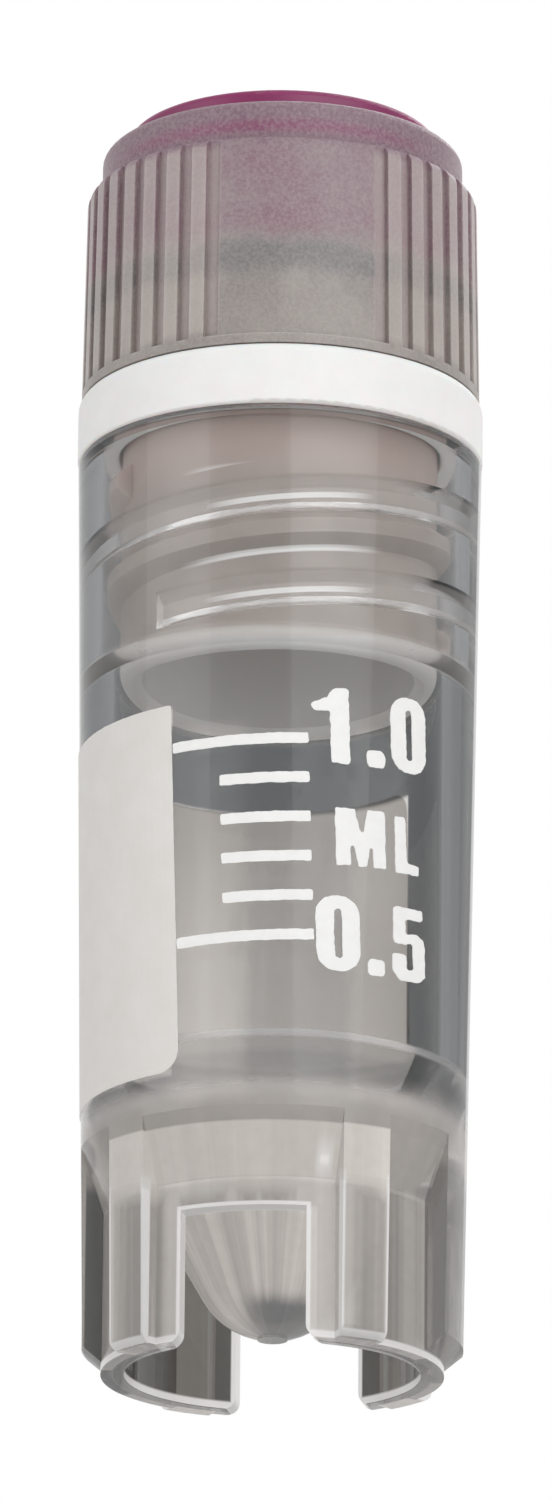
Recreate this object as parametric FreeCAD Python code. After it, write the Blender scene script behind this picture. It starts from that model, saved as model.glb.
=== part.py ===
"""Self-standing 1.2 mL cryovial with an internal thread.

Four moulded pieces on one axis: the clear tube with its skirt foot, the screw cap with a hollow
threaded plug, the coloured disc pressed into the cap, and the silicone washer between cap and rim.
Millimetres, +Z up, origin on the axis in the plane the foot stands on. The cap is shown screwed home.
The open slots of the foot face -Y and +Y.
"""

import FreeCAD, Part
import math
import os

from FreeCAD import Vector

# Tube: outside
RIM_DIAMETER = 12.45  # at the top of the tube
RIM_HEIGHT = 28.8
BODY_DRAFT_ANGLE = 0.995  # the tube narrows towards its foot
FOOT_CORNER = 0.35  # rounding of the foot's lower outer edge
RIM_CORNER = 0.12

# Tube: cavity
RIM_WALL = 1.175  # from the bore to the outside at the rim
FLOOR_HEIGHT = 2.1  # inside bottom above the standing plane
FLOOR_RADIUS = 1.5  # spherical inside bottom
FLOOR_CONE_ANGLE = 30.0  # half angle of the cone above the spherical bottom
FLOOR_WALL = 0.95
FLOOR_FLAT_RADIUS = 0.35  # the spherical bottom is flat in the middle
GATE_RADIUS = 0.45  # moulding gate under the bottom
GATE_LENGTH = 0.06

# Tube: skirt foot
SKIRT_WALL = 0.7
SKIRT_RECESS = 0.57  # how far the skirt lies inside the pads
SKIRT_HOLLOW_TOP = 4.9  # the space between the skirt and the bottom ends here
RECESS_WALL_TOP = 4.85  # the upright part of the recess ends here
RECESS_TOP = 6.9  # and its cone runs out into the body here
SLOT_WIDTH = 3.8
SLOT_HEIGHT = 4.0
SLOT_CORNER = 0.4  # rounding of the legs' lower corners
PAD_START_ANGLE = 31.5  # pads, measured from the middle of a slot
PAD_END_ANGLE = 47.0
FIN_HALF_ANGLE = 16.0  # fins stand half way between the slots
FIN_RAISE = 0.3  # a fin starts this far above the standing plane
FIN_SLANT_ANGLE = 40.0  # and its lower end rises outwards

# Thread, right-handed, in the tube and on the plug
THREAD_PITCH = 3.0
THREAD_HEIGHT = 0.42
THREAD_BASE_WIDTH = 1.2
THREAD_CREST_WIDTH = 0.45
THREAD_SINK = 0.2  # how deep a ridge's root is sunk into its wall
THREAD_ROOT_GAP = 0.18  # between a crest and the wall facing it
THREAD_FLANK_GAP = 0.16  # between the flanks that carry when the cap is tight
THREAD_ZONE_BELOW = 0.5  # the bore widens this far above the plug's lip
THREAD_START_ABOVE = 1.35  # middle of the plug's ridge where it starts, above the lip
PLUG_THREAD_RIM_GAP = 1.25  # middle of the plug's ridge where it ends, below the rim
TUBE_THREAD_RIM_GAP = 1.0  # the same for the tube's ridge
TUBE_THREAD_LEAD = 1.0  # the tube's ridge starts this far below the place level with the plug's

# Washer
RING_THICKNESS = 1.95
RING_OVERHANG = 0.025  # the washer stands out past the rim by this much
RING_GAP = 0.12  # between the washer's hole and the plug's neck
RING_CORNER = 0.1  # lower outer edge
RING_TOP_CORNER = 0.3  # upper outer edge, more rounded

# Screw cap
CAP_GRIP_HEIGHT = 6.85
CAP_INSET = 0.075  # the ribs lie inside the rim by this much
CAP_DRAFT = 0.1  # the grip is this much narrower in radius at its top
CAP_RIB_DEPTH = 0.22
CAP_PANEL_DEPTH = 0.1  # the smooth panels lie this far inside the ribs
CAP_FOOT_BAND = 0.3  # plain band under the ribs
CAP_SHOULDER = 0.45  # rounded step from the ribs in to the collar
CAP_COLLAR_HEIGHT = 1.25
CAP_COLLAR_CORNER = 0.25
CAP_COLLAR_WALL = 0.75
CAP_TURN = 15.5  # where a panel's middle stands when the cap is tight, from the front slot
PANEL_COUNT = 3
PANEL_ANGLE = 51.0
RIBS_BETWEEN_PANELS = 8
RIB_SHARE = 0.52  # share of the rib pitch that is rib
PLUG_LENGTH = 7.4  # below the rim
PLUG_WALL = 0.68
PLUG_LIP = 0.3  # rounding of the lip outside, and its chamfer inside
PLUG_LIP_SHARE = 0.45  # but no more than this share of the plug's wall
PLUG_HOLLOW_ABOVE = 2.35  # the hollow ends this far above the flange
CAP_WEB = 1.2  # between the plug's hollow and the recess for the disc

# Coloured disc
DISC_FIT = 0.03  # radial room in the recess
DISC_PROUD = 0.65
DISC_HEAD = 1.3
DISC_SKIRT_WALL = 0.9
DISC_CORNER = 0.2

# Cutters run this far past the surfaces they open
CUTTER_REACH = 1.0

# Worked out from the above
AXIS = Vector(0, 0, 1)
ORIGIN = Vector(0, 0, 0)
FRONT = -90.0  # the front slot's direction, counted from +X
RIM_RADIUS = RIM_DIAMETER / 2
BORE_RADIUS = RIM_RADIUS - RIM_WALL
FOOT_RADIUS = RIM_RADIUS - RIM_HEIGHT * math.tan(math.radians(BODY_DRAFT_ANGLE))
SKIRT_OUTER = FOOT_RADIUS - SKIRT_RECESS
SKIRT_INNER = SKIRT_OUTER - SKIRT_WALL
PLUG_RADIUS = BORE_RADIUS - THREAD_ROOT_GAP
PLUG_CREST = PLUG_RADIUS + THREAD_HEIGHT
PLUG_BOTTOM = RIM_HEIGHT - PLUG_LENGTH
PLUG_THREAD_START = PLUG_BOTTOM + THREAD_START_ABOVE
GROOVE_RADIUS = BORE_RADIUS + THREAD_HEIGHT
THREAD_ZONE_BOTTOM = PLUG_BOTTOM + THREAD_ZONE_BELOW
TUBE_THREAD_START = PLUG_THREAD_START + (THREAD_BASE_WIDTH + THREAD_CREST_WIDTH) / 2 + THREAD_FLANK_GAP
FLANGE_HEIGHT = RIM_HEIGHT + RING_THICKNESS
GRIP_TOP = FLANGE_HEIGHT + CAP_GRIP_HEIGHT
CAP_TOP = GRIP_TOP + CAP_COLLAR_HEIGHT
CAP_RADIUS = RIM_RADIUS - CAP_INSET
COLLAR_RADIUS = CAP_RADIUS - CAP_DRAFT - CAP_SHOULDER
RECESS_RADIUS = COLLAR_RADIUS - CAP_COLLAR_WALL
LIP_CORNER = min(PLUG_LIP, PLUG_WALL * PLUG_LIP_SHARE)
PLUG_HOLLOW_TOP = FLANGE_HEIGHT + PLUG_HOLLOW_ABOVE
RECESS_FLOOR = PLUG_HOLLOW_TOP + CAP_WEB


def body_radius(height):
    """Outside radius of the tube's straight draft at a height."""
    return FOOT_RADIUS + (RIM_RADIUS - FOOT_RADIUS) * height / RIM_HEIGHT


def point(radius, height):
    return Vector(radius, 0, height)


def line(start, end):
    return Part.makeLine(start, end)


def arc(start, middle, end):
    return Part.Arc(start, middle, end).toShape()


def corner_middle(centre, radius, angle):
    """Point on a circle in the XZ plane, its angle counted from +X towards +Z in degrees."""
    turn = math.radians(angle)
    return centre + Vector(radius * math.cos(turn), 0, radius * math.sin(turn))


def revolved(edges, angle=360.0):
    """Solid made by turning a closed outline in the XZ plane about the axis."""
    face = Part.Face(Part.Wire(edges))
    return face.revolve(ORIGIN, AXIS, angle)


def outline(points):
    """Closed outline of straight edges through points given as (radius, height)."""
    corners = [point(radius, height) for radius, height in points]
    corners.append(corners[0])
    return Part.makePolygon(corners).Edges


def cylinder(radius, bottom, top):
    return Part.makeCylinder(radius, top - bottom, point(0, bottom))


def turned(shape, angle):
    copy = shape.copy()
    copy.rotate(ORIGIN, AXIS, angle)
    return copy


def rounded_floor(radius):
    """Spherical bottom and cone of one skin of the tube, as (edge of the flat, tangent point, slope)."""
    centre = FLOOR_HEIGHT + FLOOR_RADIUS
    turn = math.radians(FLOOR_CONE_ANGLE)
    tangent = point(radius * math.cos(turn), centre - radius * math.sin(turn))
    flat_edge = point(FLOOR_FLAT_RADIUS, centre - math.sqrt(radius**2 - FLOOR_FLAT_RADIUS**2))
    return flat_edge, tangent, math.tan(turn)


def floor_solid(radius, top_radius, top_height):
    """Solid inside one skin of the bottom: sphere, cone out to top_radius, then straight up."""
    flat_edge, tangent, slope = rounded_floor(radius)
    cone_top = tangent.z + (top_radius - tangent.x) / slope
    centre = point(0, FLOOR_HEIGHT + FLOOR_RADIUS)
    middle = corner_middle(centre, radius, (-90.0 - FLOOR_CONE_ANGLE) / 2)
    top = max(top_height, cone_top)
    edges = [
        line(point(0, flat_edge.z), flat_edge),
        arc(flat_edge, middle, tangent),
        line(tangent, point(top_radius, cone_top)),
        line(point(top_radius, cone_top), point(top_radius, top)),
        line(point(top_radius, top), point(0, top)),
        line(point(0, top), point(0, flat_edge.z)),
    ]
    return revolved(edges)


def thread_ridge(wall_radius, crest_radius, start_height, end_height):
    """Helical ridge standing on a wall, outwards or inwards, with its root sunk into the wall."""
    outwards = 1 if crest_radius > wall_radius else -1
    sunk_radius = wall_radius - outwards * THREAD_SINK
    flank = (THREAD_BASE_WIDTH - THREAD_CREST_WIDTH) / 2 / THREAD_HEIGHT
    sunk_half = THREAD_BASE_WIDTH / 2 + THREAD_SINK * flank
    crest_half = THREAD_CREST_WIDTH / 2
    profile = Part.makePolygon(
        [
            point(sunk_radius, -sunk_half),
            point(crest_radius, -crest_half),
            point(crest_radius, crest_half),
            point(sunk_radius, sunk_half),
            point(sunk_radius, -sunk_half),
        ]
    )
    helix = Part.makeHelix(THREAD_PITCH, end_height - start_height, wall_radius)
    ridge = Part.Wire(helix.Edges).makePipeShell([profile], True, True)
    ridge = Part.Solid(ridge) if ridge.ShapeType != "Solid" else ridge
    if ridge.Volume < 0:
        ridge.reverse()
    ridge.translate(Vector(0, 0, start_height))
    return ridge


def body_blank():
    """The tube's outside, drafted from foot to rim, with rounded edges."""
    corner = point(FOOT_RADIUS - FOOT_CORNER, FOOT_CORNER)
    top = point(RIM_RADIUS - RIM_CORNER, RIM_HEIGHT - RIM_CORNER)
    edges = [
        line(point(0, 0), point(corner.x, 0)),
        arc(point(corner.x, 0), corner_middle(corner, FOOT_CORNER, -45), point(FOOT_RADIUS, FOOT_CORNER)),
        line(point(FOOT_RADIUS, FOOT_CORNER), point(RIM_RADIUS, top.z)),
        arc(point(RIM_RADIUS, top.z), corner_middle(top, RIM_CORNER, 45), point(top.x, RIM_HEIGHT)),
        line(point(top.x, RIM_HEIGHT), point(0, RIM_HEIGHT)),
        line(point(0, RIM_HEIGHT), point(0, 0)),
    ]
    return revolved(edges)


def recess_cutter(start_angle, end_angle):
    """Wedge that sets the skirt back between two angles, counted from +X."""
    beyond = RIM_RADIUS + CUTTER_REACH
    reach = body_radius(RECESS_TOP)
    slope = (RECESS_TOP - RECESS_WALL_TOP) / (reach - SKIRT_OUTER)
    edges = outline(
        [
            (SKIRT_OUTER, -CUTTER_REACH),
            (SKIRT_OUTER, RECESS_WALL_TOP),
            (beyond, RECESS_WALL_TOP + slope * (beyond - SKIRT_OUTER)),
            (beyond, -CUTTER_REACH),
        ]
    )
    return turned(revolved(edges, end_angle - start_angle), start_angle)


def fin_end_cutter(side):
    """Wedge that ends the fin on one side above the standing plane, slanting up and out."""
    beyond = RIM_RADIUS + CUTTER_REACH
    rise = (beyond - SKIRT_OUTER) * math.tan(math.radians(FIN_SLANT_ANGLE))
    edges = outline(
        [
            (SKIRT_OUTER, -CUTTER_REACH),
            (SKIRT_OUTER, FIN_RAISE),
            (beyond, FIN_RAISE + rise),
            (beyond, -CUTTER_REACH),
        ]
    )
    middle = FRONT + side * 90.0
    return turned(revolved(edges, 2 * FIN_HALF_ANGLE), middle - FIN_HALF_ANGLE)


def recess_cutters():
    """The recess runs all round but for four pads and two fins."""
    slot_middles = (FRONT, FRONT + 180.0)
    cutters = [recess_cutter(middle - PAD_START_ANGLE, middle + PAD_START_ANGLE) for middle in slot_middles]
    for middle in slot_middles:
        for side in (-1, 1):
            near = middle + side * PAD_END_ANGLE
            far = middle + side * (90.0 - FIN_HALF_ANGLE)
            cutters.append(recess_cutter(min(near, far), max(near, far)))
    return cutters


def slot_cutter():
    """Straight-sided opening through one side of the skirt, flared round the legs' lower corners."""
    half = SLOT_WIDTH / 2
    wide = half + SLOT_CORNER
    bend = SLOT_CORNER * (1 - math.sqrt(0.5))
    near = (SKIRT_INNER + cone_radius(SLOT_HEIGHT)) / 2
    corners = [Vector(side * half, -near, SLOT_CORNER) for side in (-1, 1)]
    tips = [Vector(side * wide, -near, 0) for side in (-1, 1)]
    bends = [Vector(side * (half + bend), -near, bend) for side in (-1, 1)]
    tops = [Vector(side * half, -near, SLOT_HEIGHT) for side in (-1, 1)]
    ends = [Vector(side * wide, -near, -CUTTER_REACH) for side in (-1, 1)]
    edges = [
        line(tops[0], corners[0]),
        arc(corners[0], bends[0], tips[0]),
        line(tips[0], ends[0]),
        line(ends[0], ends[1]),
        line(ends[1], tips[1]),
        arc(tips[1], bends[1], corners[1]),
        line(corners[1], tops[1]),
        line(tops[1], tops[0]),
    ]
    return Part.Face(Part.Wire(edges)).extrude(Vector(0, -RIM_DIAMETER, 0))


def cone_radius(height):
    """Radius of the bottom's outer cone at a height."""
    tangent, slope = rounded_floor(FLOOR_RADIUS + FLOOR_WALL)[1:]
    return tangent.x + (height - tangent.z) * slope


def make_tube():
    """Drafted body, hollow skirt round a conical bottom, bore with a helical ridge near the rim."""
    under_cone = floor_solid(FLOOR_RADIUS + FLOOR_WALL, SKIRT_INNER, RIM_HEIGHT)
    skirt_hollow = cylinder(SKIRT_INNER, -CUTTER_REACH, SKIRT_HOLLOW_TOP).cut(under_cone)
    cavity = floor_solid(FLOOR_RADIUS, BORE_RADIUS, RIM_HEIGHT + CUTTER_REACH)
    lead_in = min(GROOVE_RADIUS + THREAD_ROOT_GAP, (GROOVE_RADIUS + RIM_RADIUS) / 2)
    thread_zone = revolved(
        outline(
            [
                (0, THREAD_ZONE_BOTTOM - THREAD_HEIGHT),
                (BORE_RADIUS, THREAD_ZONE_BOTTOM - THREAD_HEIGHT),
                (GROOVE_RADIUS, THREAD_ZONE_BOTTOM),
                (GROOVE_RADIUS, RIM_HEIGHT - THREAD_ROOT_GAP),
                (lead_in, RIM_HEIGHT),
                (lead_in, RIM_HEIGHT + CUTTER_REACH),
                (0, RIM_HEIGHT + CUTTER_REACH),
            ]
        )
    )
    tube = body_blank().cut([skirt_hollow, cavity, thread_zone])
    tube = tube.cut(recess_cutters())
    tube = tube.cut([fin_end_cutter(-1), fin_end_cutter(1)])
    tube = tube.cut([slot_cutter(), turned(slot_cutter(), 180.0)])
    bottom = rounded_floor(FLOOR_RADIUS + FLOOR_WALL)[0].z
    gate = cylinder(GATE_RADIUS, bottom - GATE_LENGTH, bottom + FLOOR_WALL / 2)
    start = TUBE_THREAD_START - TUBE_THREAD_LEAD
    ridge = thread_ridge(GROOVE_RADIUS, BORE_RADIUS, start, RIM_HEIGHT - TUBE_THREAD_RIM_GAP)
    ridge = turned(ridge, -360.0 * TUBE_THREAD_LEAD / THREAD_PITCH)
    return tube.fuse([gate, ridge]).removeSplitter()


def rib_grooves():
    """Grooves between the cap's ribs, and the shallow smooth panels."""
    bottom = FLANGE_HEIGHT + CAP_FOOT_BAND
    rib_sector = (360.0 - PANEL_COUNT * PANEL_ANGLE) / PANEL_COUNT
    pitch = rib_sector / RIBS_BETWEEN_PANELS
    groove_angle = pitch * (1 - RIB_SHARE)
    groove = grip_cutter(CAP_RIB_DEPTH, groove_angle, bottom)
    panel = grip_cutter(CAP_PANEL_DEPTH, PANEL_ANGLE - groove_angle, bottom)
    cutters = []
    for sector in range(PANEL_COUNT):
        panel_middle = FRONT + CAP_TURN + 360.0 * sector / PANEL_COUNT
        cutters.append(turned(panel, panel_middle))
        for number in range(RIBS_BETWEEN_PANELS + 1):
            cutters.append(turned(groove, panel_middle + PANEL_ANGLE / 2 + number * pitch))
    return cutters


def grip_cutter(depth, angle, bottom):
    """Wedge of the grip's outer skin, centred on +X, parallel to its draft."""
    skin = CAP_RADIUS - depth
    edges = outline(
        [
            (skin, bottom),
            (skin - CAP_DRAFT, GRIP_TOP),
            (CAP_RADIUS + CUTTER_REACH, GRIP_TOP),
            (CAP_RADIUS + CUTTER_REACH, bottom),
        ]
    )
    return turned(revolved(edges, angle), -angle / 2)


def cap_blank():
    """Grip, shoulder and collar of the cap, with the plug's outside below."""
    shoulder = point(COLLAR_RADIUS, GRIP_TOP - CAP_SHOULDER)
    grip_edge = point(COLLAR_RADIUS + CAP_SHOULDER, shoulder.z)
    collar = point(COLLAR_RADIUS - CAP_COLLAR_CORNER, CAP_TOP - CAP_COLLAR_CORNER)
    lip = point(PLUG_RADIUS - LIP_CORNER, PLUG_BOTTOM + LIP_CORNER)
    edges = [
        line(point(0, PLUG_BOTTOM), point(lip.x, PLUG_BOTTOM)),
        arc(point(lip.x, PLUG_BOTTOM), corner_middle(lip, LIP_CORNER, -45), point(PLUG_RADIUS, lip.z)),
        line(point(PLUG_RADIUS, lip.z), point(PLUG_RADIUS, FLANGE_HEIGHT)),
        line(point(PLUG_RADIUS, FLANGE_HEIGHT), point(CAP_RADIUS, FLANGE_HEIGHT)),
        line(point(CAP_RADIUS, FLANGE_HEIGHT), grip_edge),
        arc(grip_edge, corner_middle(shoulder, CAP_SHOULDER, 45), point(COLLAR_RADIUS, GRIP_TOP)),
        line(point(COLLAR_RADIUS, GRIP_TOP), point(COLLAR_RADIUS, collar.z)),
        arc(
            point(COLLAR_RADIUS, collar.z),
            corner_middle(collar, CAP_COLLAR_CORNER, 45),
            point(collar.x, CAP_TOP),
        ),
        line(point(collar.x, CAP_TOP), point(0, CAP_TOP)),
        line(point(0, CAP_TOP), point(0, PLUG_BOTTOM)),
    ]
    return revolved(edges)


def make_cap():
    """Ribbed cap with a recess on top and a hollow plug with a helical ridge below."""
    hollow_radius = PLUG_RADIUS - PLUG_WALL
    hollow = cylinder(hollow_radius, PLUG_BOTTOM - CUTTER_REACH, PLUG_HOLLOW_TOP)
    mouth = Part.makeCone(hollow_radius + LIP_CORNER, hollow_radius, LIP_CORNER, point(0, PLUG_BOTTOM))
    recess = cylinder(RECESS_RADIUS, RECESS_FLOOR, CAP_TOP + CUTTER_REACH)
    cap = cap_blank().cut(rib_grooves())
    cap = cap.cut([hollow, mouth, recess])
    ridge = thread_ridge(PLUG_RADIUS, PLUG_CREST, PLUG_THREAD_START, RIM_HEIGHT - PLUG_THREAD_RIM_GAP)
    return cap.fuse(ridge).removeSplitter()


def make_disc():
    """Coloured disc: a head that stands proud of the cap on a skirt that fills the recess."""
    radius = RECESS_RADIUS - DISC_FIT
    top = CAP_TOP + DISC_PROUD
    corner = point(radius - DISC_CORNER, top - DISC_CORNER)
    inner = radius - DISC_SKIRT_WALL
    under_head = top - DISC_HEAD
    edges = [
        line(point(inner, RECESS_FLOOR), point(radius, RECESS_FLOOR)),
        line(point(radius, RECESS_FLOOR), point(radius, corner.z)),
        arc(point(radius, corner.z), corner_middle(corner, DISC_CORNER, 45), point(corner.x, top)),
        line(point(corner.x, top), point(0, top)),
        line(point(0, top), point(0, under_head)),
        line(point(0, under_head), point(inner, under_head)),
        line(point(inner, under_head), point(inner, RECESS_FLOOR)),
    ]
    return revolved(edges)


def make_ring():
    """Flat silicone washer between the rim and the cap's flange."""
    hole = PLUG_RADIUS + RING_GAP
    radius = RIM_RADIUS + RING_OVERHANG
    lower = point(radius - RING_CORNER, RIM_HEIGHT + RING_CORNER)
    upper = point(radius - RING_TOP_CORNER, FLANGE_HEIGHT - RING_TOP_CORNER)
    edges = [
        line(point(hole, RIM_HEIGHT), point(lower.x, RIM_HEIGHT)),
        arc(point(lower.x, RIM_HEIGHT), corner_middle(lower, RING_CORNER, -45), point(radius, lower.z)),
        line(point(radius, lower.z), point(radius, upper.z)),
        arc(point(radius, upper.z), corner_middle(upper, RING_TOP_CORNER, 45), point(upper.x, FLANGE_HEIGHT)),
        line(point(upper.x, FLANGE_HEIGHT), point(hole, FLANGE_HEIGHT)),
        line(point(hole, FLANGE_HEIGHT), point(hole, RIM_HEIGHT)),
    ]
    return revolved(edges)


PIECES = {
    "vial_tube": make_tube,
    "screw_cap": make_cap,
    "colour_insert": make_disc,
    "sealing_ring": make_ring,
}

os.makedirs("parts", exist_ok=True)
for name, make in PIECES.items():
    shape = make()
    shape.exportStep(f"parts/{name}.step")
    box = shape.BoundBox
    print(f"{name}: {len(shape.Solids)} solid, valid {shape.isValid()}, {shape.Volume:.1f} mm3")
    print(f"  z {box.ZMin:.3f} to {box.ZMax:.3f}, x {box.XLength:.3f}, y {box.YLength:.3f}")
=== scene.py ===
"""Looks of a small clear sample tube: its plastics, its washer, its printing, and the studio round it."""

import functools
import math
import random

import bmesh
import bpy
from mathutils import Matrix, Vector


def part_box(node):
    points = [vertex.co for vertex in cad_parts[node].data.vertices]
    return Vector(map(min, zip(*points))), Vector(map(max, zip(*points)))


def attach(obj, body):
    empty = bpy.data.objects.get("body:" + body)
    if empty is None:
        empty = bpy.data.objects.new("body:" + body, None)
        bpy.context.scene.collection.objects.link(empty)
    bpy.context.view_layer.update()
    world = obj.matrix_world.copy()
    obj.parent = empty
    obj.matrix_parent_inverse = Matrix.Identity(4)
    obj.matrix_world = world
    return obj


MM = 0.001

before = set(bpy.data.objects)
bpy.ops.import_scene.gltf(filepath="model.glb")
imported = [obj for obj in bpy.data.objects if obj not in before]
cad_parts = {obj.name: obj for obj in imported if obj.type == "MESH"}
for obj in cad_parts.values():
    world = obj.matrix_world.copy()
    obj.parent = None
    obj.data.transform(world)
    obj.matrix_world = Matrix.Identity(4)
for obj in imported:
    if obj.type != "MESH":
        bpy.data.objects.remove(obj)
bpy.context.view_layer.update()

# Outside of the tube, which the ink follows
TUBE_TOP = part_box("vial_tube")[1]
RIM_RADIUS = TUBE_TOP.x
RIM_HEIGHT = TUBE_TOP.z
DRAFT = math.radians(0.995)

# Cap: where its flange and collar begin, and the recess for the disc
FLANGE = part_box("sealing_ring")[1].z
COLLAR = FLANGE + 6.85 * MM
RECESS = FLANGE + 3.55 * MM
CAP_RADIUS = 6.15 * MM
GRIP_SLOPE = 0.0146  # how far the ribs' crests lean in for each unit of height

# Thread: its pitch, and a height at which the middle of each ridge would pass the front
PITCH = 3.0 * MM
TUBE_RIDGE = 1.985 * MM
PLUG_RIDGE = 1.0 * MM

# Tube: heights and radii at which its finish changes
SLOT_TOP = 4.0 * MM
RECESS_WALL_TOP = 4.85 * MM
CAVITY_CORNER = 9.3 * MM  # where the straight bore meets the conical bottom
PLUG_END = 21.4 * MM
THREAD_BOTTOM = 21.9 * MM
BORE_RADIUS = 5.05 * MM
INNER_RADIUS = 5.6 * MM  # the cavity's wall lies inside this, and the outside of the body beyond it

# Foot: the pads' edges, the rear pads, the front legs with the slot between them, and the fins, in degrees
PAD_EDGES = [middle + side * edge for middle in (0.0, 180.0) for side in (-1, 1) for edge in (31.5, 47.0)]
REAR_PADS = (-140.75, 140.75)
FRONT_LEGS_HALF = 47.5
LEFT_FIN = -90.0
RIGHT_FIN = 90.0
FIN_HALF = 18.0

# Printing: heights above the foot, and azimuths from the front slot towards +X
PRINT_MIDDLE = -105.0
PRINT_LEVEL = 13.6 * MM
PATCH_TOP = 19.35 * MM
PATCH_BOTTOM = 7.98 * MM
PATCH_RIGHT = -19.9
PATCH_LEFT = -221.0
MARK_TOP = 18.22 * MM  # the 1.0 line
MARK_STEP = 1.22 * MM
MARK_COUNT = 6
MARK_HEIGHT = 0.33 * MM
MARK_END = 20.5
SHORT_MARK_START = -5.5
INK_GAP = 0.004 * MM
INK_THICKNESS = 0.025 * MM
INK_STRIP = 0.25 * MM  # the widest flat strip that the ink's film bends in
FIGURE_WAVER = 0.025 * MM  # the most that a printed edge strays from its line
MARK_WAVER = 0.015 * MM
PATCH_WAVER = 0.01 * MM


# ---------------------------------------------------------------- node helpers


class Shader:
    """A material's node tree, with short ways to add and join nodes."""

    def __init__(self, name):
        self.material = bpy.data.materials.new(name)
        self.material.use_nodes = True
        self.tree = self.material.node_tree
        self.tree.nodes.clear()
        self.output = self.tree.nodes.new("ShaderNodeOutputMaterial")
        self.place = self.node("ShaderNodeTexCoord").outputs["Object"]

    def node(self, kind, inputs=None, **settings):
        made = self.tree.nodes.new(kind)
        for name, value in settings.items():
            setattr(made, name, value)
        for name, value in (inputs or {}).items():
            self.feed(made.inputs[name], value)
        return made

    def feed(self, socket, value):
        if isinstance(value, bpy.types.NodeSocket):
            self.tree.links.new(value, socket)
        else:
            socket.default_value = value

    def math(self, operation, *values, clamp=False):
        inputs = dict(enumerate(values))
        return self.node("ShaderNodeMath", inputs, operation=operation, use_clamp=clamp).outputs[0]

    def both(self, *masks):
        """Product of masks: 1 only where all of them are 1."""
        return functools.reduce(functools.partial(self.math, "MULTIPLY"), masks)

    def most(self, *masks):
        """The largest of masks."""
        return functools.reduce(functools.partial(self.math, "MAXIMUM"), masks)

    def scaled(self, value, scale, offset):
        """value times scale, plus offset."""
        return self.math("MULTIPLY_ADD", value, scale, offset)

    def axis(self, name):
        """How far along an axis, called X, Y or Z, the place is."""
        return self.node("ShaderNodeSeparateXYZ", {"Vector": self.place}).outputs[name]

    def vector(self, operation, output, *values):
        return self.node("ShaderNodeVectorMath", dict(enumerate(values)), operation=operation).outputs[output]

    def outwards(self):
        """Flat vector from the axis to the place, whose length is the radius."""
        return self.vector("MULTIPLY", "Vector", self.place, (1.0, 1.0, 0.0))

    @functools.cached_property
    def height(self):
        """How far the place is above the plane that the foot stands on."""
        return self.axis("Z")

    @functools.cached_property
    def radius(self):
        """How far the place is from the tube's axis."""
        return self.vector("LENGTH", "Value", self.outwards())

    def streaks(self, count):
        """Noise of about count streaks round the axis, from 0 to 1, that run along it and in to it."""
        unit = self.vector("NORMALIZE", "Vector", self.outwards())
        inputs = {"Vector": unit, "Scale": count / math.tau, "Detail": 3.0, "Roughness": 0.7}
        return self.node("ShaderNodeTexNoise", inputs).outputs["Fac"]

    def along_thread(self, phase, half_width, soft=0.05 * MM):
        """1 on a line that climbs with the thread and stands at height phase in front."""
        across, depth = self.axis("X"), self.axis("Y")
        angle = self.math("ARCTAN2", across, self.math("MULTIPLY", depth, -1.0))
        turns = self.scaled(angle, -1.0 / math.tau, self.math("DIVIDE", self.height, PITCH))
        part = self.math("FRACT", self.math("ADD", turns, 0.5 - phase / PITCH))
        off = self.math("ABSOLUTE", self.math("SUBTRACT", part, 0.5))
        return self.ramp(off, (half_width + soft) / PITCH, half_width / PITCH)

    def facing(self, azimuth, half_angle, soft=0.5):
        """1 within half_angle of an azimuth counted from -Y towards +X, and 0 elsewhere."""
        turn = math.radians(azimuth)
        middle = (math.sin(turn), -math.cos(turn), 0.0)
        unit = self.vector("NORMALIZE", "Vector", self.outwards())
        near = self.vector("DOT_PRODUCT", "Value", unit, middle)
        edges = [math.cos(math.radians(half_angle + side * soft)) for side in (1, -1)]
        return self.ramp(near, *edges)

    def ramp(self, value, start, end):
        """0 up to start and 1 from end on, whichever of them is the higher."""
        inputs = {"Value": value, "From Min": start, "From Max": end}
        return self.node("ShaderNodeMapRange", inputs, interpolation_type="SMOOTHSTEP").outputs["Result"]

    def between(self, value, low, high, soft):
        """1 from low to high, and 0 outside, with soft edges."""
        rise = self.ramp(value, low - soft, low + soft)
        fall = self.ramp(value, high - soft, high + soft)
        return self.math("SUBTRACT", rise, fall, clamp=True)

    def mix(self, factor, first, second):
        """The first colour where factor is 0, and the second where it is 1."""
        made = self.node("ShaderNodeMix", {"Factor": factor}, data_type="RGBA", clamp_factor=True)
        self.feed(made.inputs[6], first)
        self.feed(made.inputs[7], second)
        return made.outputs[2]

    def noise(self, size, detail=2.0, stretch=(1.0, 1.0, 1.0), roughness=0.5):
        """Noise whose blotches are about size across, from 0 to 1."""
        mapping = self.node("ShaderNodeMapping", {"Vector": self.place, "Scale": stretch})
        inputs = {
            "Vector": mapping.outputs[0],
            "Scale": 1.0 / size,
            "Detail": detail,
            "Roughness": roughness,
        }
        return self.node("ShaderNodeTexNoise", inputs).outputs["Fac"]

    def bump(self, relief, strength, distance):
        inputs = {"Height": relief, "Strength": strength, "Distance": distance}
        return self.node("ShaderNodeBump", inputs).outputs[0]

    def principled(self, **values):
        inputs = {name.replace("_", " ").title().replace("Ior", "IOR"): v for name, v in values.items()}
        return self.node("ShaderNodeBsdfPrincipled", inputs).outputs[0]

    def finish(self, surface):
        self.tree.links.new(surface, self.output.inputs["Surface"])
        return self.material


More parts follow.
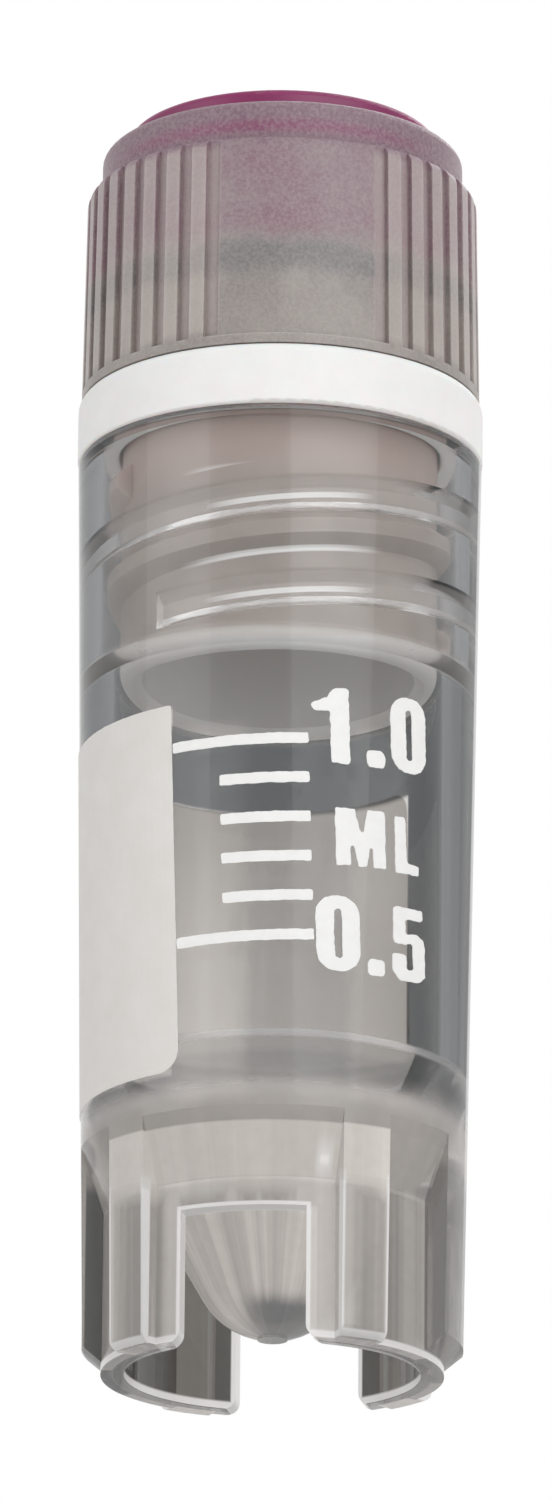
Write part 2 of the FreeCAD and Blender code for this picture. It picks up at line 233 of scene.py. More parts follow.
def rgb(red, green, blue):
    """Linear colour from display values of 0 to 255."""
    def linear(value):
        share = value / 255
        return share / 12.92 if share <= 0.04045 else ((share + 0.055) / 1.055) ** 2.4
    return (linear(red), linear(green), linear(blue), 1.0)


NEAR_WHITE = rgb(252, 250, 248)


# ---------------------------------------------------------------- materials


def lets_light_in(shader, surface):
    """Clear plastic that lamps and diffused light shine through, on to what is inside."""
    path = shader.node("ShaderNodeLightPath")
    passes = shader.most(path.outputs["Is Shadow Ray"], path.outputs["Is Diffuse Ray"])
    clear = shader.node("ShaderNodeBsdfTransparent").outputs[0]
    return shader.node("ShaderNodeMixShader", {0: passes, 1: surface, 2: clear}).outputs[0]


def front_legs(shader):
    """The front slot and the legs on both sides of it."""
    return shader.facing(0.0, FRONT_LEGS_HALF, 1.0)


def right_side(shader):
    """The skirt between the right front leg and the fin beside it."""
    return shader.facing(68.0, 24.0, 6.0)


def on_skirt(shader):
    """Outer faces of the foot, and not what lies inside its skirt."""
    return shader.ramp(shader.radius, 4.75 * MM, 4.85 * MM)


def beside_thread(shader):
    """The tube's upper part, where the thread runs inside."""
    return shader.ramp(shader.height, 21.0 * MM, THREAD_BOTTOM)


def above_bore(shader):
    """The thread zone, from just over the straight bore up."""
    return shader.ramp(shader.height, THREAD_BOTTOM, THREAD_BOTTOM + 0.2 * MM)


def on_thread_wall(shader):
    """Inner side of the wall, and not its outer side."""
    return shader.ramp(shader.radius, INNER_RADIUS, INNER_RADIUS - 0.1 * MM)


def tube_tint(shader):
    """Colour of the clear plastic, with painted shade and light: its far side painted dark, its front
    lighter, a painted dark band low inside, the foot painted lighter on its front legs and right side, and
    clear under the patch.
    """
    height = shader.height
    # Painted shade and light: the far side's tint is painted dark and the front's light. It is lighter still
    # beside the figures and in front of the plug.
    rear = shader.mix(shader.facing(118.0, 24.0, 5.0), rgb(54, 57, 60), rgb(24, 27, 30))
    smoky_with_painted_shade = shader.mix(shader.facing(10.0, 76.0, 28.0), rear, rgb(147, 149, 151))
    beside_figures = shader.most(shader.facing(44.0, 8.0, 6.0), shader.facing(-10.0, 9.0, 6.0))
    below_lines = shader.ramp(height, 19.0 * MM, 18.2 * MM)
    smoky_with_painted_shade = shader.mix(shader.both(beside_figures, below_lines, 0.75), smoky_with_painted_shade, rgb(204, 204, 204))
    before_plug = shader.both(shader.facing(13.0, 64.0, 14.0), beside_thread(shader))
    smoky_with_painted_shade = shader.mix(before_plug, smoky_with_painted_shade, rgb(188, 189, 190))
    smoky_with_painted_shade = shader.mix(shader.both(shader.noise(2.5 * MM, 3.0), 0.1), smoky_with_painted_shade, rgb(110, 110, 110))
    round_patch = shader.facing((PATCH_RIGHT + PATCH_LEFT) / 2, (PATCH_RIGHT - PATCH_LEFT) / 2 - 1.0)
    beside_patch = shader.between(height, PATCH_BOTTOM, PATCH_TOP, 0.1 * MM)
    outer = shader.mix(shader.both(round_patch, beside_patch), smoky_with_painted_shade, NEAR_WHITE)

    in_bottom = shader.ramp(height, 9.35 * MM, 9.1 * MM)
    inner = shader.mix(in_bottom, NEAR_WHITE, rgb(214, 214, 214))
    # Painted shade: a dark band low on the inside of the cavity.
    band = shader.between(height, 8.0 * MM, 8.8 * MM, 0.15 * MM)
    inner = shader.mix(shader.both(band, 0.6), inner, rgb(168, 170, 171))
    body = shader.mix(shader.ramp(shader.radius, INNER_RADIUS, INNER_RADIUS - 0.05 * MM), outer, inner)

    # Painted light: the foot's tint is lighter on the front legs and the right side than on the shaded rest.
    lit = shader.most(front_legs(shader), right_side(shader))
    foot = shader.mix(lit, rgb(74, 74, 72), rgb(104, 103, 101))
    return shader.mix(shader.ramp(height, 7.6 * MM, 6.9 * MM), body, foot)


def painted_edge_highlights(shader):
    """Painted highlights on the foot's edges: where it stands, along its pads and round its slots."""
    height, radius = shader.height, shader.radius
    edges = [shader.both(shader.ramp(height, 0.3 * MM, 0.2 * MM), shader.ramp(height, 0.02 * MM, 0.03 * MM))]
    for azimuth in PAD_EDGES:
        near = shader.both(shader.facing(azimuth, 0.8), shader.ramp(radius, 5.4 * MM, 5.5 * MM))
        edges.append(shader.both(near, shader.ramp(height, 5.2 * MM, 4.6 * MM)))
    across = shader.math("ABSOLUTE", shader.axis("X"))
    slot_top = shader.between(height, SLOT_TOP - 0.03 * MM, SLOT_TOP + 0.08 * MM, 0.03 * MM)
    edges.append(shader.both(slot_top, on_skirt(shader), shader.ramp(across, 2.1 * MM, 1.95 * MM)))
    jamb = shader.both(shader.ramp(across, 2.06 * MM, 2.0 * MM), shader.ramp(radius, 4.2 * MM, 4.3 * MM))
    edges.append(shader.both(jamb, shader.ramp(height, SLOT_TOP + 0.15 * MM, SLOT_TOP + 0.1 * MM)))
    return shader.most(*edges)


def tube_glints(shader):
    """Painted highlights: bright lines on the crest of the thread's ridge, and a bright spot beside the right
    front leg.
    """
    crest = shader.ramp(shader.radius, BORE_RADIUS + 0.08 * MM, BORE_RADIUS + 0.05 * MM)
    line = shader.both(shader.along_thread(TUBE_RIDGE, 0.07 * MM), crest, above_bore(shader))
    spot = shader.between(shader.height, 5.0 * MM, 5.8 * MM, 0.5 * MM)
    return shader.most(
        shader.both(line, shader.facing(14.0, 22.0, 14.0)),
        shader.both(spot, on_skirt(shader), shader.facing(27.0, 1.5, 2.0), 0.9),
    )


def cavity_corner_highlight(shader):
    """Painted highlight: a soft line on the front half of the corner where the bore meets the conical bottom.
    """
    ring = shader.between(shader.height, CAVITY_CORNER - 0.12 * MM, CAVITY_CORNER + 0.08 * MM, 0.06 * MM)
    inside = shader.ramp(shader.radius, BORE_RADIUS + 0.15 * MM, BORE_RADIUS + 0.05 * MM)
    return shader.both(ring, inside, shader.facing(20.0, 60.0, 40.0))


def thread_haze(shader):
    """Thin haze on the thread's ridge and on the wall round the plug's end."""
    ridge = shader.both(above_bore(shader), shader.ramp(shader.radius, 5.42 * MM, 5.32 * MM))
    round_plug = shader.between(shader.height, PLUG_END, 22.0 * MM, 0.1 * MM)
    return shader.most(shader.both(ridge, 0.25), shader.both(round_plug, on_thread_wall(shader), 0.3))


def foot_haze(shader, streaks, bands):
    """Frosting of the foot: its legs, the cone above them and the rounded bottom between them."""
    height, radius = shader.height, shader.radius
    skirt, legs_front, beside = on_skirt(shader), front_legs(shader), right_side(shader)
    shares = [
        shader.both(legs_front, shader.scaled(bands, 0.22, 0.36)),
        shader.both(beside, shader.scaled(bands, 0.2, 0.26)),
    ]
    shares += [shader.both(shader.facing(azimuth, 8.0), 0.9) for azimuth in REAR_PADS]
    legs = shader.both(skirt, shader.ramp(height, 5.6 * MM, 4.6 * MM), shader.most(*shares))

    upright = shader.ramp(height, RECESS_WALL_TOP - 0.05 * MM, RECESS_WALL_TOP + 0.07 * MM)
    start = shader.most(shader.both(legs_front, shader.ramp(height, 3.0 * MM, 5.2 * MM)), upright)
    share = shader.scaled(legs_front, 0.56, shader.scaled(beside, 0.2, 0.1))
    cone = shader.both(skirt, start, shader.ramp(height, 6.55 * MM, 6.4 * MM), share)

    bottom = shader.both(shader.ramp(radius, 4.4 * MM, 4.1 * MM), shader.ramp(height, 10.0 * MM, 9.0 * MM))
    over_cone = shader.both(skirt, shader.ramp(height, 8.2 * MM, 7.2 * MM))
    underside = shader.both(skirt, shader.ramp(height, 0.03 * MM, 0.02 * MM))
    return shader.most(
        shader.both(legs, shader.scaled(streaks, 0.1, 0.95)),
        shader.both(cone, shader.scaled(streaks, 0.1, 1.0)),
        shader.both(bottom, shader.scaled(bands, 0.22, shader.scaled(streaks, 0.14, 0.5))),
        shader.both(over_cone, 0.3),
        shader.both(underside, 0.35),
    )


def painted_lens_shade(shader):
    """Painted shade on the right half of the rounded bottom, where the thick bottom looks dark."""
    low = shader.ramp(shader.height, 2.7 * MM, 2.2 * MM)
    right = shader.ramp(shader.axis("X"), -1.0 * MM, 0.1 * MM)
    return shader.both(shader.ramp(shader.radius, 2.05 * MM, 1.6 * MM), low, right, 0.75)


def milky_colour(shader, bright, lens, left_fin_shade, right_fin_shade):
    """Colour of the hazy share of the plastic, with painted shade in the lens and on the fins, and painted
    highlights in near white.
    """
    colour = shader.mix(shader.noise(0.35 * MM, 3.0), rgb(219, 211, 205), rgb(231, 225, 219))
    colour = shader.mix(lens, colour, rgb(88, 95, 100))
    colour = shader.mix(left_fin_shade, colour, rgb(70, 71, 70))
    colour = shader.mix(right_fin_shade, colour, rgb(142, 139, 136))
    # Painted highlights: near white on the edges, glints and corner line.
    return shader.mix(bright, colour, NEAR_WHITE)


def clear_tube():
    """Smoky clear plastic: clear under the patch, hazy on the thread and frosted in the foot, with painted
    shade and painted highlights in its colour.
    """
    shader = Shader("clear_polypropylene")
    streaks = shader.ramp(shader.streaks(50), 0.3, 0.7)
    bands = shader.ramp(shader.streaks(18), 0.42, 0.58)
    # Painted shade on the fins: dark on the left fin's flanks, grey on the right fin.
    fins = shader.both(on_skirt(shader), shader.ramp(shader.height, 6.4 * MM, 5.4 * MM))
    flanks = shader.ramp(shader.radius, 5.7 * MM, 5.65 * MM)
    left_fin_shade = shader.both(fins, shader.facing(LEFT_FIN, FIN_HALF), flanks)
    right_fin_shade = shader.both(fins, shader.facing(RIGHT_FIN, FIN_HALF))
    lens = painted_lens_shade(shader)
    edges, glints, corner = painted_edge_highlights(shader), tube_glints(shader), cavity_corner_highlight(shader)
    haze = shader.most(
        foot_haze(shader, streaks, bands),
        thread_haze(shader),
        shader.both(corner, 0.6),
        shader.both(edges, 0.7),
        shader.both(left_fin_shade, 0.7),
        shader.both(right_fin_shade, 0.45),
        lens,
        glints,
    )
    rough = shader.most(haze, shader.both(beside_thread(shader), on_thread_wall(shader), 0.3))
    clear = shader.principled(
        base_color=tube_tint(shader),
        roughness=shader.scaled(rough, 0.2, 0.03),
        ior=1.3,
        transmission_weight=1.0,
        normal=shader.bump(shader.noise(2.4 * MM, 1.0, (1, 1, 0.35)), 0.12, 0.05 * MM),
    )
    # Painted highlights: the edges, glints and corner line, painted near white in the hazy share.
    bright = shader.most(edges, glints, corner)
    milky = shader.principled(
        base_color=milky_colour(shader, bright, lens, left_fin_shade, right_fin_shade),
        roughness=0.3,
        normal=shader.bump(streaks, 0.1, 0.03 * MM),
    )
    surface = shader.node("ShaderNodeMixShader", {0: haze, 1: clear, 2: milky}).outputs[0]
    return shader.finish(lets_light_in(shader, surface))


def grip_colour(shader, cloud, grain):
    """Outside of the cap: grey-brown below, stained by the disc above, with the web between them, and painted
    light on the ribs' crests and in their grooves.
    """
    height = shader.height
    level = shader.scaled(shader.noise(0.9 * MM, 3.0), 0.8 * MM, height)
    grip = shader.mix(cloud, rgb(138, 131, 127), rgb(154, 147, 142))
    stained = shader.mix(cloud, rgb(134, 104, 117), rgb(142, 124, 130))
    colour = shader.mix(shader.ramp(level, RECESS - 0.1 * MM, RECESS + 0.9 * MM), grip, stained)
    web = shader.between(level, RECESS - 0.8 * MM, RECESS + 0.2 * MM, 0.3 * MM)
    colour = shader.mix(shader.both(web, 0.7), colour, rgb(104, 104, 106))
    colour = shader.mix(shader.ramp(height, COLLAR - 0.6 * MM, COLLAR), colour, rgb(122, 94, 108))
    stripe = shader.both(shader.between(height, COLLAR + 0.2 * MM, COLLAR + 0.6 * MM, 0.2 * MM),
                         shader.facing(4.0, 45.0, 25.0))
    colour = shader.mix(shader.both(stripe, 0.8), colour, rgb(128, 54, 94))
    crest = shader.scaled(height, -GRIP_SLOPE, CAP_RADIUS + FLANGE * GRIP_SLOPE)
    depth = shader.math("SUBTRACT", crest, shader.radius)
    under_step = shader.ramp(height, COLLAR - 0.1 * MM, COLLAR - 0.5 * MM)
    above_foot = shader.ramp(height, FLANGE + 0.3 * MM, FLANGE + 0.6 * MM)
    # Painted light: the ribs' crests are painted paler, and the grooves between them paler too, lifting their
    # shade.
    ribs = shader.both(shader.ramp(depth, 0.06 * MM, 0.02 * MM), under_step, above_foot)
    colour = shader.mix(shader.both(ribs, 0.42), colour, rgb(190, 180, 174))
    grooves = shader.both(shader.ramp(depth, 0.14 * MM, 0.2 * MM), under_step, above_foot)
    colour = shader.mix(shader.both(grooves, 0.55), colour, rgb(182, 166, 164))
    return shader.mix(shader.both(grain, 0.28), colour, rgb(184, 176, 172))


def plug_colour(shader, cloud):
    """Plug: pinkish at its neck, with painted light making its lip and its hollow pale, and painted
    highlights along the lip's edge and below the ridge.
    """
    height = shader.height
    colour = shader.mix(cloud, rgb(172, 163, 157), rgb(182, 173, 167))
    neck = shader.ramp(height, FLANGE - 4.5 * MM, FLANGE - 2.5 * MM)
    colour = shader.mix(neck, colour, rgb(200, 182, 175))
    # Painted light: the hollow and the lip are painted near white, lifting their shade.
    in_hollow = shader.ramp(shader.radius, 4.4 * MM, 4.3 * MM)
    colour = shader.mix(in_hollow, colour, rgb(252, 249, 246))
    lip = shader.ramp(height, FLANGE - 8.7 * MM, FLANGE - 9.0 * MM)
    colour = shader.mix(shader.both(lip, 0.9), colour, rgb(250, 246, 242))
    # Painted highlights: glint lines along the lip's edge and below the ridge, on the front only.
    lip_line = shader.between(height, FLANGE - 9.3 * MM, FLANGE - 9.12 * MM, 0.04 * MM)
    ridge_line = shader.along_thread(PLUG_RIDGE - 0.62 * MM, 0.06 * MM)
    below_neck = shader.ramp(height, FLANGE - 3.4 * MM, FLANGE - 3.6 * MM)
    glints = shader.both(shader.most(lip_line, ridge_line), shader.facing(12.0, 24.0, 16.0), below_neck)
    return shader.mix(glints, colour, rgb(254, 253, 252))


def frosted_cap():
    """Frosted translucent plastic, grained outside and smooth on the plug."""
    shader = Shader("frosted_polypropylene")
    grain = shader.ramp(shader.noise(0.12 * MM, 4.0, roughness=0.75), 0.35, 0.65)
    cloud = shader.ramp(shader.noise(1.6 * MM, 3.0), 0.3, 0.7)
    on_plug = shader.ramp(shader.height, FLANGE, FLANGE - 0.3 * MM)
    outside = grip_colour(shader, cloud, grain)
    surface = shader.principled(
        base_color=shader.mix(on_plug, outside, plug_colour(shader, cloud)),
        roughness=0.4,
        ior=1.49,
        subsurface_weight=0.35,
        subsurface_radius=(1.0, 0.9, 0.85),
        subsurface_scale=0.8 * MM,
        normal=shader.bump(shader.both(grain, shader.math("SUBTRACT", 1.0, on_plug)), 0.3, 0.02 * MM),
    )
    return shader.finish(surface)


def purple_disc():
    shader = Shader("purple_plastic")
    cloud = shader.noise(1.2 * MM, 3.0)
    colour = shader.mix(cloud, rgb(118, 12, 76), rgb(138, 26, 94))
    surface = shader.principled(
        base_color=colour,
        roughness=0.38,
        subsurface_weight=0.15,
        subsurface_scale=0.5 * MM,
        normal=shader.bump(shader.noise(0.15 * MM, 2.0), 0.15, 0.01 * MM),
    )
    return shader.finish(surface)


def white_silicone():
    shader = Shader("white_silicone")
    cloud = shader.noise(1.0 * MM, 3.0)
    surface = shader.principled(
        base_color=shader.mix(cloud, rgb(232, 231, 229), rgb(242, 241, 240)),
        roughness=0.55,
        subsurface_weight=0.3,
        subsurface_scale=0.6 * MM,
        normal=shader.bump(shader.noise(0.2 * MM, 3.0), 0.12, 0.02 * MM),
    )
    return shader.finish(surface)


def white_ink():
    shader = Shader("white_ink")
    cloud = shader.noise(0.5 * MM, 4.0, roughness=0.65)
    surface = shader.principled(
        base_color=shader.mix(cloud, rgb(232, 231, 229), rgb(246, 246, 245)),
        roughness=0.5,
        normal=shader.bump(shader.noise(0.08 * MM, 3.0), 0.3, 0.01 * MM),
    )
    return shader.finish(surface)


def patch_ink():
    """Pale grey from outside, and white where it is seen from inside through the tube: painted light,
    standing in for light that shines through the film.
    """
    shader = Shader("patch_ink")
    cloud = shader.noise(1.2 * MM, 4.0, roughness=0.6)
    outside = shader.mix(cloud, rgb(218, 214, 209), rgb(230, 228, 224))
    slope = shader.vector("NORMALIZE", "Vector", shader.outwards())
    normal = shader.node("ShaderNodeNewGeometry").outputs["True Normal"]
    # Painted light: the inner face is painted whiter than the outer.
    inside = shader.ramp(shader.vector("DOT_PRODUCT", "Value", slope, normal), 0.2, -0.2)
    surface = shader.principled(
        base_color=shader.mix(inside, outside, rgb(252, 248, 244)),
        roughness=0.6,
        normal=shader.bump(shader.noise(0.1 * MM, 3.0), 0.3, 0.01 * MM),
    )
    return shader.finish(surface)


def give(node, material):
    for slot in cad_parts[node].material_slots:
        slot.material = material


# ---------------------------------------------------------------- printing


def tube_radius(height):
    """Outside radius of the tube at a height."""
    return RIM_RADIUS - (RIM_HEIGHT - height) * math.tan(DRAFT)


# From the point where the drafted tube's sides would meet, far below, up along its side
PRINT_REACH = tube_radius(PRINT_LEVEL) / math.sin(DRAFT)


def in_print(azimuth, height):
    """Where a point of the tube lies in the flat print that was rolled round it, from the print's middle."""
    reach = PRINT_REACH + (height - PRINT_LEVEL) / math.cos(DRAFT)
    turn = math.radians(azimuth - PRINT_MIDDLE) * math.sin(DRAFT)
    return Vector((reach * math.sin(turn), reach * math.cos(turn) - PRINT_REACH))


def on_tube(across, up, out):
    """Point standing out from the tube, where the flat print's (across, up) comes to lie."""
    reach = math.hypot(across, PRINT_REACH + up)
    turn = math.atan2(across, PRINT_REACH + up) / math.sin(DRAFT) + math.radians(PRINT_MIDDLE)
    height = PRINT_LEVEL + (reach - PRINT_REACH) * math.cos(DRAFT)
    radius = tube_radius(height) + out
    return Vector((radius * math.sin(turn), -radius * math.cos(turn), height))


def rounded(corners, default_radius, step=0.05 * MM):
    """Closed outline through corners given as (x, y) or (x, y, radius), each rounded by an arc."""
    made = []
    count = len(corners)
    for number, corner in enumerate(corners):
        here = Vector(corner[:2])
        before = Vector(corners[number - 1][:2]) - here
        after = Vector(corners[(number + 1) % count][:2]) - here
        radius = corner[2] if len(corner) > 2 else default_radius
        half = before.angle(after) / 2
        reach = min(radius / math.tan(half), before.length * 0.49, after.length * 0.49)
        radius = reach * math.tan(half)
        start = here + before.normalized() * reach
        end = here + after.normalized() * reach
        middle = here + (before.normalized() + after.normalized()).normalized() * (radius / math.sin(half))
        sweep = (start - middle).angle_signed(end - middle)
        pieces = max(2, math.ceil(abs(sweep) * radius / step))
        for piece in range(pieces + 1):
            turn = -sweep * piece / pieces
            arm = start - middle
            made.append(middle + Vector((
                arm.x * math.cos(turn) - arm.y * math.sin(turn),
                arm.x * math.sin(turn) + arm.y * math.cos(turn),
            )))
    return made


def roughened(outline, amount, rng, step=0.06 * MM):
    """The outline cut into short pieces, each point moved a little as a screen-printed edge is."""
    points = []
    for number, here in enumerate(outline):
        there = outline[(number + 1) % len(outline)]
        pieces = max(1, round((there - here).length / step))
        points += [here.lerp(there, piece / pieces) for piece in range(pieces)]
    pushes = [rng.uniform(-1, 1) for _ in points]
    soft = [(pushes[i - 2] + 2 * pushes[i - 1] + 2 * pushes[i]) / 5 for i in range(len(points))]
    moved = []
    for number, here in enumerate(points):
        along = points[(number + 1) % len(points)] - points[number - 1]
        side = Vector((along.y, -along.x)).normalized()
        moved.append(here + side * soft[number] * amount)
    return moved


def flat_mesh(outlines):
    """Flat filled mesh of closed outlines, the inner ones being holes."""
    curve = bpy.data.curves.new("outline", "CURVE")
    curve.dimensions = "2D"
    curve.fill_mode = "BOTH"
    for outline in outlines:
        spline = curve.splines.new("POLY")
        spline.points.add(len(outline) - 1)
        for point, (x, y) in zip(spline.points, outline):
            point.co = (x, y, 0, 1)
        spline.use_cyclic_u = True
    holder = bpy.data.objects.new("outline", curve)
    mesh = bpy.data.meshes.new_from_object(holder)
    bpy.data.objects.remove(holder)
    bpy.data.curves.remove(curve)
    return mesh


def cut_in_strips(film):
    """Cuts a flat film across, so that it can bend round the tube."""
    low = min(v.co.x for v in film.verts)
    high = max(v.co.x for v in film.verts)
    strips = math.ceil((high - low) / INK_STRIP)
    for number in range(1, strips):
        at = low + (high - low) * number / strips
        everything = film.verts[:] + film.edges[:] + film.faces[:]
        bmesh.ops.bisect_plane(film, geom=everything, plane_co=(at, 0, 0), plane_no=(1, 0, 0))


def ink(name, outlines, corner, material):
    """A film of ink on the tube. Outlines are in the flat print, from its corner."""
    film = bmesh.new()
    flat = flat_mesh(outlines)
    film.from_mesh(flat)
    bpy.data.meshes.remove(flat)
    bmesh.ops.remove_doubles(film, verts=film.verts, dist=0.002 * MM)
    cut_in_strips(film)
    outer = film.faces[:]
    for face in outer:
        if face.normal.z < 0:
            face.normal_flip()
    made = bmesh.ops.extrude_face_region(film, geom=outer)
    lifted = {v for v in made["geom"] if isinstance(v, bmesh.types.BMVert)}
    for vert in film.verts:
        thickness = INK_THICKNESS if vert in lifted else 0.0
        vert.co = on_tube(corner.x + vert.co.x, corner.y + vert.co.y, INK_GAP + thickness)
    bmesh.ops.recalc_face_normals(film, faces=film.faces)
    mesh = bpy.data.meshes.new(name)
    film.to_mesh(mesh)
    film.free()
    mesh.materials.append(material)
    piece = bpy.data.objects.new(name, mesh)
    bpy.context.scene.collection.objects.link(piece)
    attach(piece, "tube")


def figure_one(width, height):
    stem = width * 0.5
    return [rounded([
        (stem, 0), (width, 0), (width, height), (width * 0.62, height), (width * 0.42, height * 0.87),
        (0, height * 0.79), (width * 0.1, height * 0.69), (stem, height * 0.69),
    ], 0.09 * MM)]


def figure_nought(width, height):
    wall = width * 0.41
    rim = height * 0.17
    outer = rounded([(0, 0), (width, 0), (width, height), (0, height)], width * 0.44)
    inner = rounded([(wall, rim), (wall, height - rim), (width - wall, height - rim), (width - wall, rim)],
                    width * 0.08)
    return [outer, inner]


def figure_five(width, height):
    stroke = width * 0.4
    return [rounded([
        (0, height * 0.1, width * 0.2), (width * 0.22, 0), (width * 0.78, 0), (width, height * 0.1),
        (width, height * 0.58, width * 0.25), (width * 0.72, height * 0.67), (stroke, height * 0.63),
        (stroke, height * 0.85), (width * 0.94, height * 0.85), (width * 0.94, height),
        (width * 0.06, height),
        (width * 0.04, height * 0.5), (stroke, height * 0.5), (width * 0.6, height * 0.54),
        (width * 0.62, height * 0.16), (stroke, height * 0.15), (stroke, height * 0.36), (0, height * 0.36),
    ], 0.08 * MM)]


def letter_m(width, height):
    return [rounded([
        (0, 0), (width * 0.28, 0), (width * 0.3, height * 0.62), (width * 0.43, 0), (width * 0.6, 0),
        (width * 0.72, height * 0.6), (width * 0.74, 0), (width, 0), (width, height), (width * 0.65, height),
        (width * 0.52, height * 0.5), (width * 0.38, height), (0, height),
    ], 0.06 * MM)]


def letter_l(width, height):
    return [rounded([
        (0, 0), (width, 0), (width, height * 0.17), (width * 0.48, height * 0.2), (width * 0.44, height),
        (0, height),
    ], 0.07 * MM)]


def stop(width, height):
    return [rounded([(0, 0), (width, 0), (width, height), (0, height)], width * 0.25)]


# Name, shape, azimuths of its left and right sides, and heights of its foot and top in millimetres
FIGURES = (
    ("figure_1_top", figure_one, 20.5, 31.9, 17.46, 19.8),
    ("point_top", stop, 37.0, 43.0, 17.5, 18.02),
    ("figure_0_top", figure_nought, 45.2, 58.4, 17.52, 19.87),
    ("letter_M", letter_m, 28.0, 43.8, 14.33, 16.1),
    ("letter_L", letter_l, 47.2, 56.0, 14.38, 16.12),
    ("figure_0_low", figure_nought, 22.6, 36.0, 11.04, 13.35),
    ("point_low", stop, 38.4, 44.0, 11.05, 11.55),
    ("figure_5_low", figure_five, 46.8, 59.6, 11.07, 13.32),
)


def print_figures(material, rng):
    for name, shape, start, end, bottom, top in FIGURES:
        corner = in_print(start, bottom * MM)
        width = (in_print(end, bottom * MM) - corner).length
        outlines = [roughened(o, FIGURE_WAVER, rng) for o in shape(width, (top - bottom) * MM)]
        ink(name, outlines, corner, material)


def print_marks(material, rng):
    middle = MARK_TOP - MARK_STEP * (MARK_COUNT - 1) / 2
    end = in_print(MARK_END, middle).x
    for number in range(MARK_COUNT):
        long_mark = number in (0, MARK_COUNT - 1)
        start = in_print(PATCH_RIGHT if long_mark else SHORT_MARK_START, middle).x
        up = in_print(MARK_END, MARK_TOP - number * MARK_STEP - MARK_HEIGHT / 2).y
        width = end - start
        outline = rounded([(0, 0), (width, 0), (width, MARK_HEIGHT), (0, MARK_HEIGHT)], 0.05 * MM)
        name = f"volume_mark_{10 - number}"
        ink(name, [roughened(outline, MARK_WAVER, rng)], Vector((start, up)), material)


def print_patch(material, rng):
    middle = (PATCH_TOP + PATCH_BOTTOM) / 2
    corner = Vector((in_print(PATCH_LEFT, middle).x, in_print(PRINT_MIDDLE, PATCH_BOTTOM).y))
    width = in_print(PATCH_RIGHT, middle).x - corner.x
    height = PATCH_TOP - PATCH_BOTTOM
    outline = rounded([
        (0, 0, 0.7 * MM), (width, 0, 0.7 * MM), (width, height, 0.06 * MM), (0, height, 0.7 * MM),
    ], 0.1 * MM)
    ink("writing_patch", [roughened(outline, PATCH_WAVER, rng)], corner, material)


# ---------------------------------------------------------------- studio

TARGET = Vector((0, 0, 0.0195))
FLOOR_RADIUS = 0.6
WORLD_LIGHT = 0.55  # strength of the world where it only lights, and 1 where it is seen
CAMERA_AZIMUTH = 10.7
CAMERA_DISTANCE = 0.280
CAMERA_DROP = 0.068
CAMERA_PITCH = 17.39
CAMERA_YAW = 0.01
CAMERA_ROLL = 0.5
CAMERA_LENS = 230.2


def make_floor():
    """Pale floor, solid from above and open from below, where the camera is."""
    bpy.ops.mesh.primitive_circle_add(vertices=96, radius=FLOOR_RADIUS, fill_type="NGON")
    floor = bpy.context.object
    floor.name = "studio_floor"
    shader = Shader("studio_floor")
    below = shader.node("ShaderNodeNewGeometry").outputs["Backfacing"]
    pale = shader.mix(shader.noise(0.2, 1.0), rgb(226, 226, 227), rgb(232, 232, 232))
    matt = shader.node("ShaderNodeBsdfDiffuse", {"Color": pale}).outputs[0]
    clear = shader.node("ShaderNodeBsdfTransparent").outputs[0]
    floor.data.materials.append(
        shader.finish(shader.node("ShaderNodeMixShader", {0: below, 1: matt, 2: clear}).outputs[0])
    )


def make_world():
    """White where it is seen, mirrored or seen through plastic, and dimmer where it only lights."""
    world = bpy.data.worlds.new("studio")
    bpy.context.scene.world = world
    world.use_nodes = True
    nodes, links = world.node_tree.nodes, world.node_tree.links
    nodes.clear()
    path = nodes.new("ShaderNodeLightPath")
    seen = path.outputs["Is Camera Ray"]
    for name in ("Is Glossy Ray", "Is Transmission Ray"):
        either = nodes.new("ShaderNodeMath")
        either.operation = "MAXIMUM"
        links.new(seen, either.inputs[0])
        links.new(path.outputs[name], either.inputs[1])
        seen = either.outputs[0]
    strength = nodes.new("ShaderNodeMapRange")
    links.new(seen, strength.inputs["Value"])
    strength.inputs["To Min"].default_value = WORLD_LIGHT
    strength.inputs["To Max"].default_value = 1.0
    background = nodes.new("ShaderNodeBackground")
    background.inputs["Color"].default_value = (1, 1, 1, 1)
    links.new(strength.outputs["Result"], background.inputs["Strength"])
    output = nodes.new("ShaderNodeOutputWorld")
    links.new(background.outputs[0], output.inputs["Surface"])


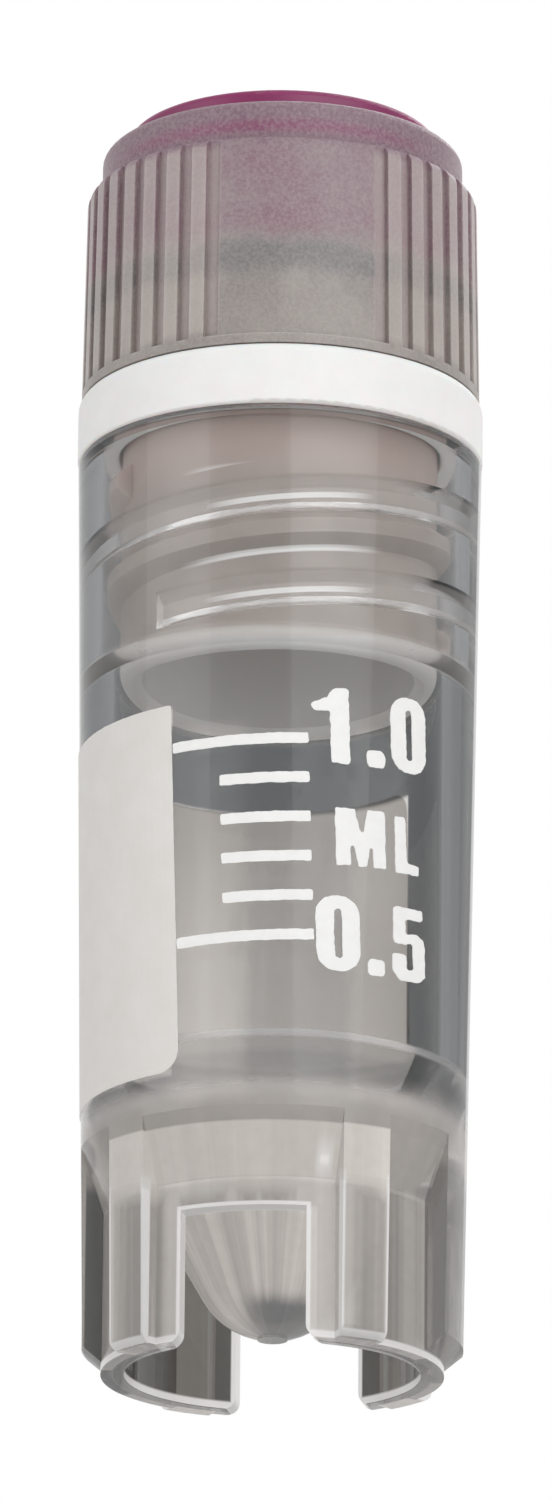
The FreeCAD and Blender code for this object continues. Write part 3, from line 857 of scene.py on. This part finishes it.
def softbox(name, azimuth, elevation, distance, share, glow):
    """Round lamp aimed at the object.

    share is how much of plain white light it alone gives, and glow how bright its face is.
    """
    turn, rise = math.radians(azimuth), math.radians(elevation)
    back = Vector((math.sin(turn) * math.cos(rise), -math.cos(turn) * math.cos(rise), math.sin(rise)))
    data = bpy.data.lights.new(name, "AREA")
    data.shape = "DISK"
    data.energy = share * (math.pi * distance) ** 2
    data.size = 2 * math.sqrt(data.energy / glow) / math.pi
    lamp = bpy.data.objects.new(name, data)
    bpy.context.scene.collection.objects.link(lamp)
    lamp.location = TARGET + back * distance
    lamp.rotation_mode = "QUATERNION"
    lamp.rotation_quaternion = back.to_track_quat("Z", "Y")


def make_camera():
    data = bpy.data.cameras.new("camera")
    data.lens = CAMERA_LENS
    data.sensor_width = 36
    data.clip_start = 0.01
    data.clip_end = 10
    camera = bpy.data.objects.new("camera", data)
    bpy.context.scene.collection.objects.link(camera)
    turn = math.radians(CAMERA_AZIMUTH)
    place = Vector((math.sin(turn), -math.cos(turn), 0)) * CAMERA_DISTANCE
    place.z = -CAMERA_DROP
    aim = Matrix.Rotation(turn + math.radians(CAMERA_YAW), 4, "Z")
    aim = aim @ Matrix.Rotation(math.radians(90 + CAMERA_PITCH), 4, "X")
    roll = Matrix.Rotation(math.radians(CAMERA_ROLL), 4, "Z")
    camera.matrix_world = Matrix.Translation(place) @ aim @ roll
    bpy.context.scene.camera = camera


give("vial_tube", clear_tube())
give("screw_cap", frosted_cap())
give("colour_insert", purple_disc())
give("sealing_ring", white_silicone())

chance = random.Random(7)
figures = white_ink()
print_marks(figures, chance)
print_figures(figures, chance)
print_patch(patch_ink(), chance)

make_world()
make_floor()
softbox("key", azimuth=42, elevation=30, distance=0.35, share=0.48, glow=2.0)
softbox("fill", azimuth=-50, elevation=10, distance=0.40, share=0.23, glow=1.5)
softbox("back", azimuth=165, elevation=45, distance=0.40, share=0.20, glow=1.5)
make_camera()

scene = bpy.context.scene
scene.view_settings.view_transform = "Standard"
